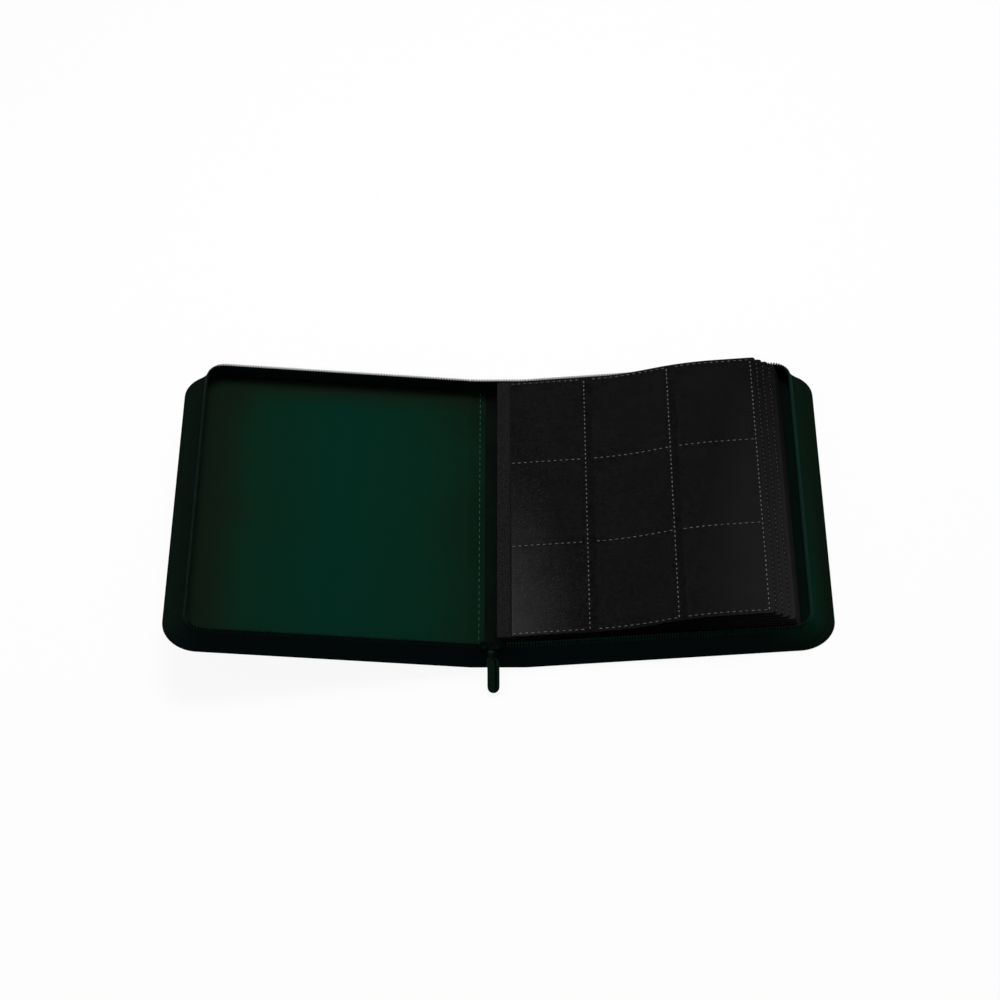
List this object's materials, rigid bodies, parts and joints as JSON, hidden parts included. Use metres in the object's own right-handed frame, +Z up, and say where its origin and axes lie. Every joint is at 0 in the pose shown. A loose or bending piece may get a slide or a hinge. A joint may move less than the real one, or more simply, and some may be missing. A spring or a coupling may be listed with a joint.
{
  "type": "zip pocket album",
  "caption": "Zip-up album lying open: two leather-look trays on a folding spine, with stitched black leaves of clear side-loading pockets.",
  "frame": {"origin": "centre of the flat outer face of the back cover, which lies on the table", "axes": "+X from the spine to the back cover's fore edge, +Y from foot to head, +Z up"},
  "size_m": [0.5485, 0.3429, 0.0706],
  "materials": {
    "leather_green": "fine grain, soft sheen",
    "board": "matte",
    "padding": "soft foam",
    "lining_satin": "satin",
    "zip_tape": "woven",
    "zip_teeth": "moulded",
    "zip_metal": "lacquered",
    "pull_leather": "fine grain",
    "binding_cloth": "woven",
    "leaf_black": "fine texture",
    "pocket_film": "clear, hazy"
  },
  "bodies": {
    "back_cover": {"back_skin": "leather_green", "back_board": "board", "back_padding": "padding", "back_lining": "lining_satin", "back_gusset": "leather_green", "back_zip_tape": "zip_tape", "back_zip_teeth": "zip_teeth", "binding_base": "binding_cloth"},
    "spine": {"spine_skin": "leather_green", "spine_board": "board", "spine_lining": "lining_satin", "lining_flap": "lining_satin", "head_web": "leather_green", "foot_web": "leather_green"},
    "front_cover": {"front_skin": "leather_green", "front_board": "board", "front_padding": "padding", "front_lining": "lining_satin", "front_gusset": "leather_green", "front_zip_tape": "zip_tape", "front_zip_teeth": "zip_teeth"},
    "slider": {"zip_slider": "zip_metal", "slider_bail": "zip_metal"},
    "pull": {"pull_tab": "pull_leather"},
    "binding_01": {"binding_strip_01": "binding_cloth"},
    "leaf_01": {"leaf_01": "leaf_black", "leaf_01_film": "pocket_film"},
    "binding_02": {"binding_strip_02": "binding_cloth"},
    "leaf_02": {"leaf_02": "leaf_black", "leaf_02_film": "pocket_film"},
    "binding_03": {"binding_strip_03": "binding_cloth"},
    "leaf_03": {"leaf_03": "leaf_black", "leaf_03_film": "pocket_film"},
    "binding_04": {"binding_strip_04": "binding_cloth"},
    "leaf_04": {"leaf_04": "leaf_black", "leaf_04_film": "pocket_film"},
    "binding_05": {"binding_strip_05": "binding_cloth"},
    "leaf_05": {"leaf_05": "leaf_black", "leaf_05_film": "pocket_film"},
    "binding_06": {"binding_strip_06": "binding_cloth"},
    "leaf_06": {"leaf_06": "leaf_black", "leaf_06_film": "pocket_film"},
    "binding_07": {"binding_strip_07": "binding_cloth"},
    "leaf_07": {"leaf_07": "leaf_black", "leaf_07_film": "pocket_film"},
    "binding_08": {"binding_strip_08": "binding_cloth"},
    "leaf_08": {"leaf_08": "leaf_black", "leaf_08_film": "pocket_film"},
    "binding_09": {"binding_strip_09": "binding_cloth"},
    "leaf_09": {"leaf_09": "leaf_black", "leaf_09_film": "pocket_film"},
    "binding_10": {"binding_strip_10": "binding_cloth"},
    "leaf_10": {"leaf_10": "leaf_black", "leaf_10_film": "pocket_film"}
  },
  "joints": [
    {"name": "spine_hinge", "type": "hinge", "parent": "back_cover", "child": "spine", "pos_m": [-0.12707, 0, 0.00045], "axis": [0, -1, 0], "range_deg": [-84.65, 0], "deforming": ["head_web", "foot_web"]},
    {"name": "front_cover_hinge", "type": "hinge", "parent": "spine", "child": "front_cover", "pos_m": [-0.17257, 0, 0.00471], "axis": [0, -1, 0], "range_deg": [-84.65, 0]},
    {"name": "binding_01_slide", "type": "slide", "parent": "back_cover", "child": "binding_01", "axis": [1, 0, 0], "range_m": [0, 0.02461]},
    {"name": "leaf_01_turn", "type": "hinge", "parent": "binding_01", "child": "leaf_01", "pos_m": [-0.13731, 0, 0.02615], "axis": [0, -1, 0], "range_deg": [0, 172], "deforming": ["leaf_01", "leaf_01_film"]},
    {"name": "binding_02_slide", "type": "slide", "parent": "back_cover", "child": "binding_02", "axis": [1, 0, 0], "range_m": [0, 0.01921]},
    {"name": "leaf_02_turn", "type": "hinge", "parent": "binding_02", "child": "leaf_02", "pos_m": [-0.13192, 0, 0.02415], "axis": [0, -1, 0], "range_deg": [0, 146], "deforming": ["leaf_02", "leaf_02_film"]},
    {"name": "binding_03_slide", "type": "slide", "parent": "back_cover", "child": "binding_03", "axis": [1, 0, 0], "range_m": [0, 0.01381]},
    {"name": "leaf_03_turn", "type": "hinge", "parent": "binding_03", "child": "leaf_03", "pos_m": [-0.12651, 0, 0.02215], "axis": [0, -1, 0], "range_deg": [0, 128], "deforming": ["leaf_03", "leaf_03_film"]},
    {"name": "binding_04_slide", "type": "slide", "parent": "back_cover", "child": "binding_04", "axis": [1, 0, 0], "range_m": [0, 0.00841]},
    {"name": "leaf_04_turn", "type": "hinge", "parent": "binding_04", "child": "leaf_04", "pos_m": [-0.12112, 0, 0.02015], "axis": [0, -1, 0], "range_deg": [0, 112], "deforming": ["leaf_04", "leaf_04_film"]},
    {"name": "binding_05_slide", "type": "slide", "parent": "back_cover", "child": "binding_05", "axis": [1, 0, 0], "range_m": [0, 0.00771]},
    {"name": "leaf_05_turn", "type": "hinge", "parent": "binding_05", "child": "leaf_05", "pos_m": [-0.12041, 0, 0.01815], "axis": [0, -1, 0], "range_deg": [0, 76], "deforming": ["leaf_05", "leaf_05_film"]},
    {"name": "binding_06_slide", "type": "slide", "parent": "back_cover", "child": "binding_06", "axis": [1, 0, 0], "range_m": [0, 0.00701]},
    {"name": "leaf_06_turn", "type": "hinge", "parent": "binding_06", "child": "leaf_06", "pos_m": [-0.11972, 0, 0.01615], "axis": [0, -1, 0], "range_deg": [0, 64], "deforming": ["leaf_06", "leaf_06_film"]},
    {"name": "binding_07_slide", "type": "slide", "parent": "back_cover", "child": "binding_07", "axis": [1, 0, 0], "range_m": [0, 0.00631]},
    {"name": "leaf_07_turn", "type": "hinge", "parent": "binding_07", "child": "leaf_07", "pos_m": [-0.11901, 0, 0.01415], "axis": [0, -1, 0], "range_deg": [0, 52], "deforming": ["leaf_07", "leaf_07_film"]},
    {"name": "binding_08_slide", "type": "slide", "parent": "back_cover", "child": "binding_08", "axis": [1, 0, 0], "range_m": [0, 0.00561]},
    {"name": "leaf_08_turn", "type": "hinge", "parent": "binding_08", "child": "leaf_08", "pos_m": [-0.11832, 0, 0.01215], "axis": [0, -1, 0], "range_deg": [0, 40], "deforming": ["leaf_08", "leaf_08_film"]},
    {"name": "binding_09_slide", "type": "slide", "parent": "back_cover", "child": "binding_09", "axis": [1, 0, 0], "range_m": [0, 0.00491]},
    {"name": "leaf_09_turn", "type": "hinge", "parent": "binding_09", "child": "leaf_09", "pos_m": [-0.11761, 0, 0.01015], "axis": [0, -1, 0], "range_deg": [0, 28], "deforming": ["leaf_09", "leaf_09_film"]},
    {"name": "binding_10_slide", "type": "slide", "parent": "back_cover", "child": "binding_10", "axis": [1, 0, 0], "range_m": [0, 0.00421]},
    {"name": "leaf_10_turn", "type": "hinge", "parent": "binding_10", "child": "leaf_10", "pos_m": [-0.11692, 0, 0.00815], "axis": [0, -1, 0], "range_deg": [0, 15], "deforming": ["leaf_10", "leaf_10_film"]},
    {"name": "slider_slide", "type": "slide", "parent": "spine", "child": "slider", "axis": [0, -1, 0], "range_m": [0, 0.01201]},
    {"name": "pull_tab_swing", "type": "hinge", "parent": "slider", "child": "pull", "pos_m": [-0.15345, -0.163, 0.02808], "axis": [-0.9956, 0, 0.0932], "range_deg": [0, 100]}
  ],
  "couplings": [
    {"joint": "front_cover_hinge", "follows": "spine_hinge", "ratio": 1},
    {"joint": "binding_01_slide", "follows": "spine_hinge", "m_per_rad": -0.016651},
    {"joint": "binding_02_slide", "follows": "spine_hinge", "m_per_rad": -0.012996},
    {"joint": "leaf_02_turn", "follows": "leaf_01_turn", "ratio": 0.84884},
    {"joint": "binding_03_slide", "follows": "spine_hinge", "m_per_rad": -0.0093406},
    {"joint": "leaf_03_turn", "follows": "leaf_01_turn", "ratio": 0.74419},
    {"joint": "binding_04_slide", "follows": "spine_hinge", "m_per_rad": -0.0056856},
    {"joint": "leaf_04_turn", "follows": "leaf_01_turn", "ratio": 0.65116},
    {"joint": "binding_05_slide", "follows": "spine_hinge", "m_per_rad": -0.0052118},
    {"joint": "leaf_05_turn", "follows": "leaf_01_turn", "ratio": 0.44186},
    {"joint": "binding_06_slide", "follows": "spine_hinge", "m_per_rad": -0.004738},
    {"joint": "leaf_06_turn", "follows": "leaf_01_turn", "ratio": 0.37209},
    {"joint": "binding_07_slide", "follows": "spine_hinge", "m_per_rad": -0.0042642},
    {"joint": "leaf_07_turn", "follows": "leaf_01_turn", "ratio": 0.30233},
    {"joint": "binding_08_slide", "follows": "spine_hinge", "m_per_rad": -0.0037904},
    {"joint": "leaf_08_turn", "follows": "leaf_01_turn", "ratio": 0.23256},
    {"joint": "binding_09_slide", "follows": "spine_hinge", "m_per_rad": -0.0033166},
    {"joint": "leaf_09_turn", "follows": "leaf_01_turn", "ratio": 0.16279},
    {"joint": "binding_10_slide", "follows": "spine_hinge", "m_per_rad": -0.0028428},
    {"joint": "leaf_10_turn", "follows": "leaf_01_turn", "ratio": 0.087209},
    {"joint": "slider_slide", "follows": "spine_hinge", "m_per_rad": -0.0081223}
  ]
}
